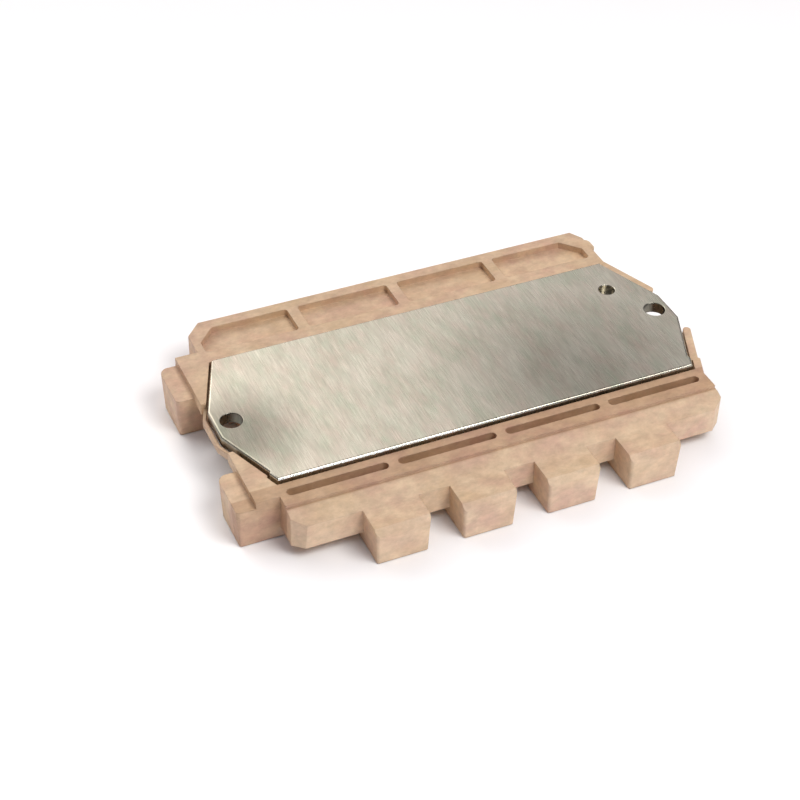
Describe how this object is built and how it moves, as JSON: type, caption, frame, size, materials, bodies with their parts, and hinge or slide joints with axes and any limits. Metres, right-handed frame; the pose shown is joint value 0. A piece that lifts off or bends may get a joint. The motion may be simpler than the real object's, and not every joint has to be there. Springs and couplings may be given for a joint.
{
  "type": "igbt module",
  "caption": "Flat power semiconductor module with a plastic case round a metal cooling plate and screw terminals along two edges.",
  "frame": {"origin": "midway between the two mounting holes, on the cooling face of the base plate", "axes": "+Z out of the cooling face, as the module lies with its plate up; X through the two mounting holes, with the supply terminals at -X; the output terminals at -Y and the control pins at +Y"},
  "size_m": [0.1067, 0.0708, 0.0115],
  "materials": {
    "nickel_plate": "nickel-plated copper, lapped to a fine streaky satin",
    "case_plastic": "tan moulded plastic, fine matt grain",
    "lid_plastic": "tan moulded plastic, fine matt grain",
    "silicone_bead": "cured silicone adhesive",
    "solder": "dull solder",
    "copper": "bare copper, satin",
    "alumina": "white fired ceramic",
    "switch_silicon": "aluminium-topped silicon",
    "diode_silicon": "aluminium-topped silicon",
    "aluminium_wire": "bright drawn wire",
    "terminal_nickel": "nickel-plated copper strip, satin",
    "nut_steel": "plated steel",
    "board_laminate": "green solder mask on laminate",
    "driver_epoxy": "black moulding compound",
    "capacitor_ceramic": "sintered ceramic",
    "resistor_ceramic": "glazed resistor chip",
    "tinned_pin": "tin-plated copper alloy"
  },
  "bodies": {
    "root": {"base_plate": "nickel_plate", "case_frame": "case_plastic", "lid": "lid_plastic", "plate_adhesive": "silicone_bead", "lid_adhesive": "silicone_bead", "substrate_solder": "solder", "chip_solder": "solder", "substrate_back_copper": "copper", "positive_rail": "copper", "negative_rail": "copper", "phase_tracks": "copper", "gate_pads": "copper", "substrate_ceramic": "alumina", "igbt_chips": "switch_silicon", "diode_chips": "diode_silicon", "bond_wires": "aluminium_wire", "terminal_p": "terminal_nickel", "terminal_n": "terminal_nickel", "terminal_b": "terminal_nickel", "terminal_u": "terminal_nickel", "terminal_v": "terminal_nickel", "terminal_w": "terminal_nickel", "terminal_nuts": "nut_steel", "control_board": "board_laminate", "driver_chips": "driver_epoxy", "board_capacitors": "capacitor_ceramic", "board_resistors": "resistor_ceramic", "link_pins": "tinned_pin", "control_pins": "tinned_pin"}
  },
  "joints": []
}
